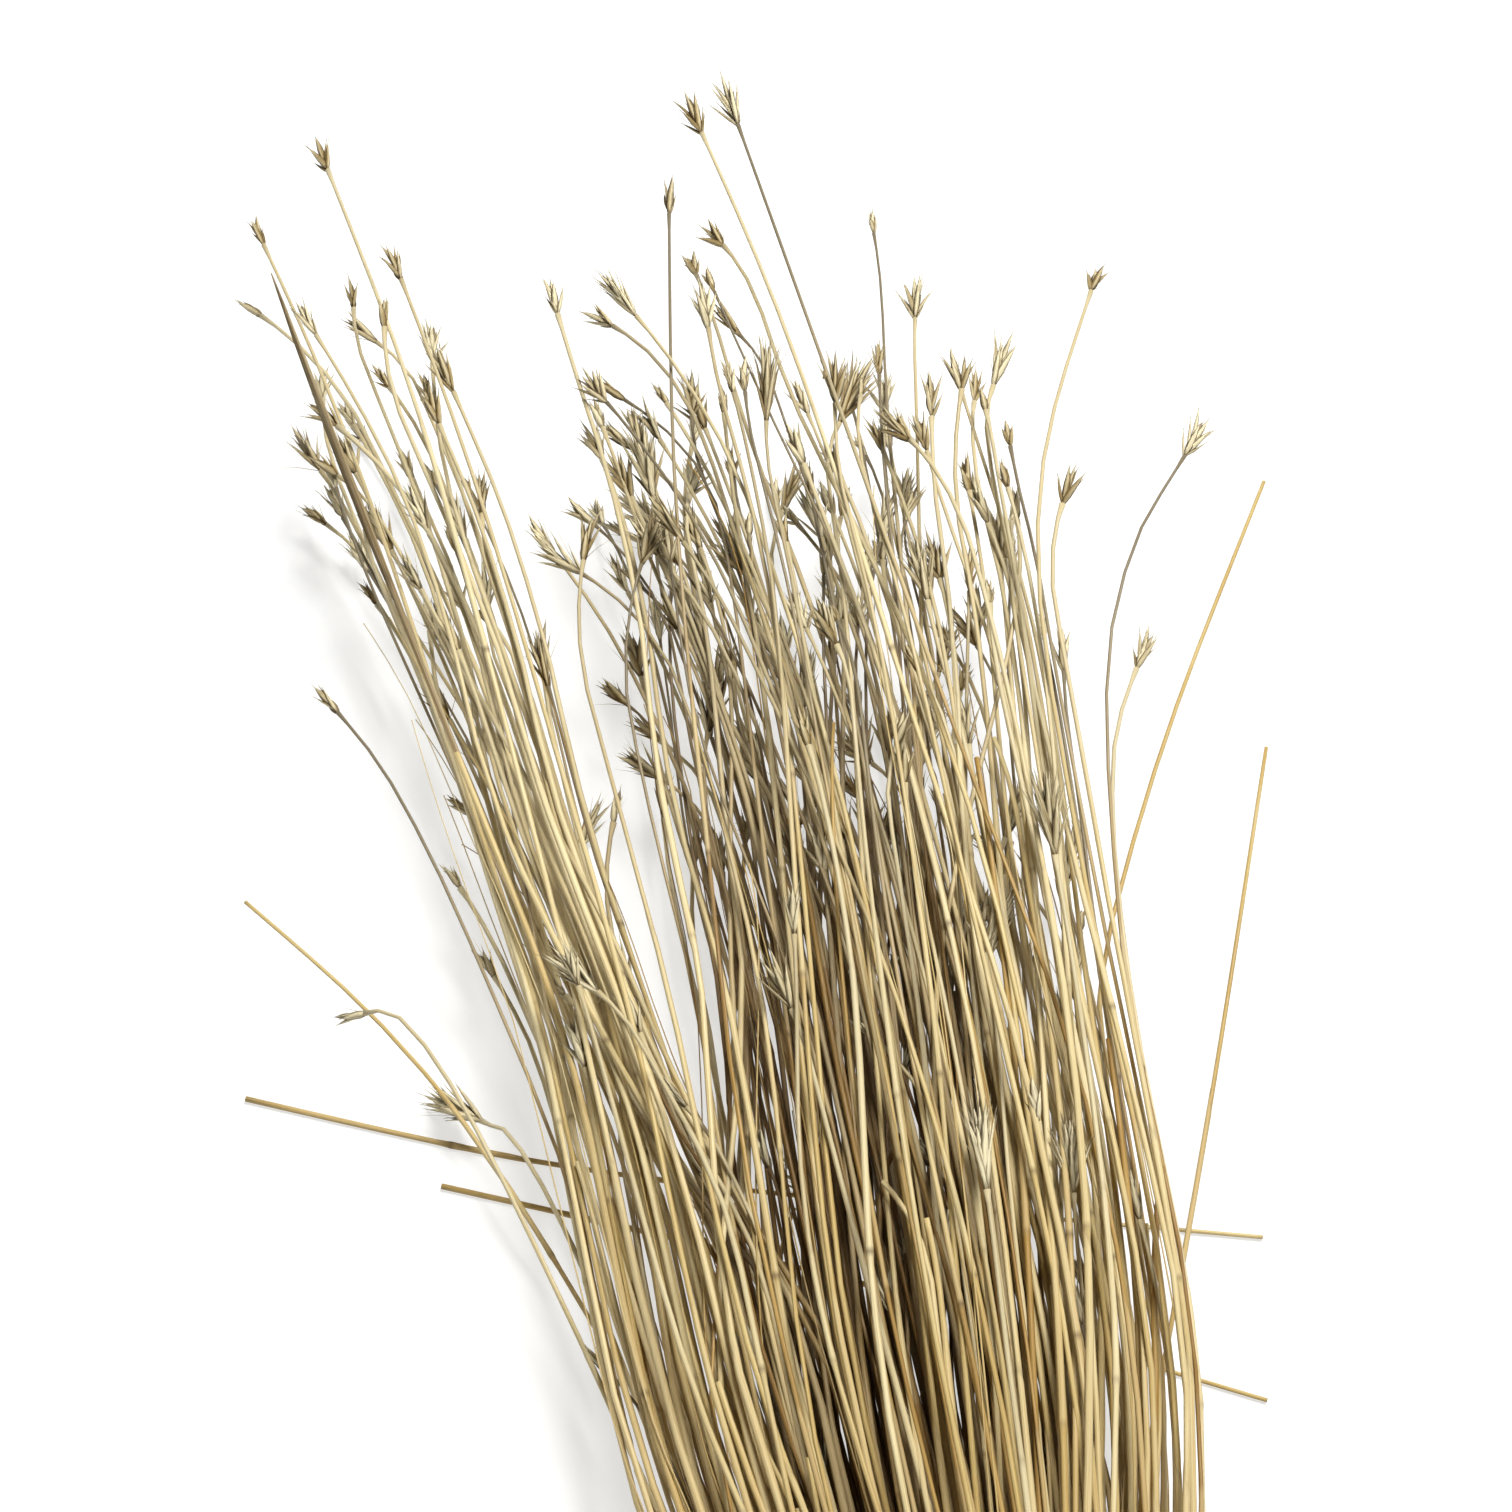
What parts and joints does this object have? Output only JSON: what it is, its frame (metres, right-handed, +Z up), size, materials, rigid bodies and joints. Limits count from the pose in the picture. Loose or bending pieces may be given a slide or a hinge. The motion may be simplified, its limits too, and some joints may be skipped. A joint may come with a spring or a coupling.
{
  "type": "bundle of foxtail grass",
  "caption": "Tied bundle of dried foxtail grass lying down: long thin straw stems that fan out from a twine winding to small bristly seed heads.",
  "frame": {"origin": "middle of the footprint of the bundle's box, on the surface it lies on", "axes": "+Y along the bundle from the cut ends towards the seed heads, +Z up from the surface"},
  "size_m": [0.2728, 0.6532, 0.0763],
  "materials": {
    "straw": "satin dried straw, pale gold to tan",
    "seed_head": "matt papery husks, olive brown to pale straw",
    "dry_leaf": "matt dried leaf, brown",
    "twine": "matt twisted jute"
  },
  "bodies": {
    "root": {"strand_01": "straw", "strand_02": "straw", "strand_03": "straw", "strand_04": "straw", "strand_05": "straw", "strand_06": "straw", "strand_07": "straw", "strand_08": "straw", "strand_09": "straw", "strand_10": "straw", "strand_11": "straw", "strand_12": "straw", "strand_13": "straw", "strand_14": "straw", "strand_15": "straw", "strand_16": "straw", "strand_17": "straw", "strand_18": "straw", "strand_19": "straw", "strand_20": "straw", "strand_21": "straw", "strand_22": "straw", "strand_23": "straw", "strand_24": "straw", "strand_25": "straw", "strand_26": "straw", "strand_27": "straw", "strand_28": "straw", "strand_29": "straw", "strand_30": "straw", "strand_31": "straw", "strand_32": "straw", "strand_33": "straw", "strand_34": "straw", "tall_stem_1": "straw", "tall_stem_2": "straw", "tall_stem_3": "straw", "left_stem_1": "straw", "left_stem_2": "straw", "left_stem_3": "straw", "left_stem_4": "straw", "right_stem_1": "straw", "right_stem_2": "straw", "right_stem_3": "straw", "arched_stem": "straw", "drooping_stem": "straw", "leaning_straw_1": "straw", "leaning_straw_2": "straw", "leaning_straw_3": "straw", "cross_straw_1": "straw", "cross_straw_2": "straw", "leaf_blade_1": "dry_leaf", "leaf_blade_2": "dry_leaf", "twine_winding": "twine", "twine_knot": "twine"}
  },
  "joints": []
}
